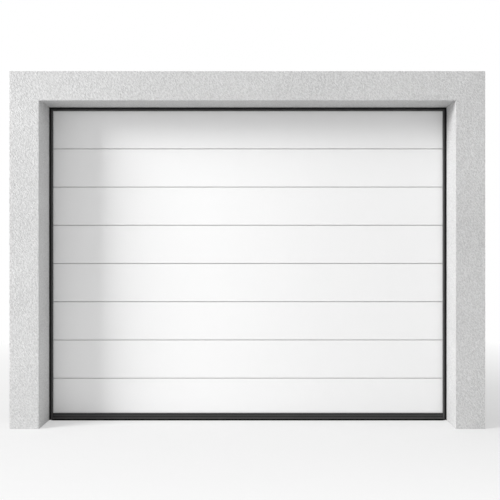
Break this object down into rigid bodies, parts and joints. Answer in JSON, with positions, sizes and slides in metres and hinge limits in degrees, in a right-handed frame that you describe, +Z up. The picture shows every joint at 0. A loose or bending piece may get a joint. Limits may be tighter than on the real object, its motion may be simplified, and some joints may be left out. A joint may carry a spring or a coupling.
{
  "type": "sectional garage door",
  "caption": "Closed sectional garage door with a white ribbed leaf, seen from outside in a light-grey rendered masonry surround; inside it has roller tracks, ceiling hangers and a rear torsion spring shaft.",
  "frame": {"origin": "on the floor at the middle of the threshold, on the bottom seal's underside and under the middle of the leaf's thickness", "axes": "+X to the right seen from outside, +Y into the garage, +Z up; the leaf lies in the XZ plane"},
  "size_m": [2.9, 2.689, 2.18],
  "materials": {
    "render": "rough exterior render",
    "leaf_white": "satin white coating",
    "frame_black": "matt black coating",
    "seal_rubber": "matt",
    "rail": "dark anodised",
    "galvanised": "galvanised",
    "nylon": "natural nylon",
    "cast_alloy": "as cast",
    "spring_steel": "oiled black wire"
  },
  "bodies": {
    "root": {"bottom_rail": "rail", "bottom_seal": "seal_rubber", "bottom_section": "leaf_white", "cable_drums": "cast_alloy", "cable_pulleys": "nylon", "ceiling_hangers": "galvanised", "centre_hinges": "galvanised", "flag_plates": "galvanised", "head_frame": "frame_black", "head_seal": "seal_rubber", "left_end_caps": "galvanised", "left_frame_post": "frame_black", "left_horizontal_tracks": "galvanised", "left_lift_cable": "galvanised", "left_pier": "render", "left_roller_brackets": "galvanised", "left_roller_hinges": "galvanised", "left_side_seal": "seal_rubber", "left_torsion_spring": "spring_steel", "left_track_curves": "galvanised", "left_vertical_track": "galvanised", "lintel": "render", "lower_middle_section": "leaf_white", "rear_plates": "galvanised", "right_end_caps": "galvanised", "right_frame_post": "frame_black", "right_horizontal_tracks": "galvanised", "right_lift_cable": "galvanised", "right_pier": "render", "right_roller_brackets": "galvanised", "right_roller_hinges": "galvanised", "right_side_seal": "seal_rubber", "right_torsion_spring": "spring_steel", "right_track_curves": "galvanised", "right_vertical_track": "galvanised", "roller_stems": "galvanised", "roller_wheels": "nylon", "spring_bracket": "galvanised", "spring_shaft": "galvanised", "top_section": "leaf_white", "track_brackets": "galvanised", "track_buffers": "seal_rubber", "track_ties": "galvanised", "upper_middle_section": "leaf_white", "winding_cones": "cast_alloy"}
  },
  "joints": []
}
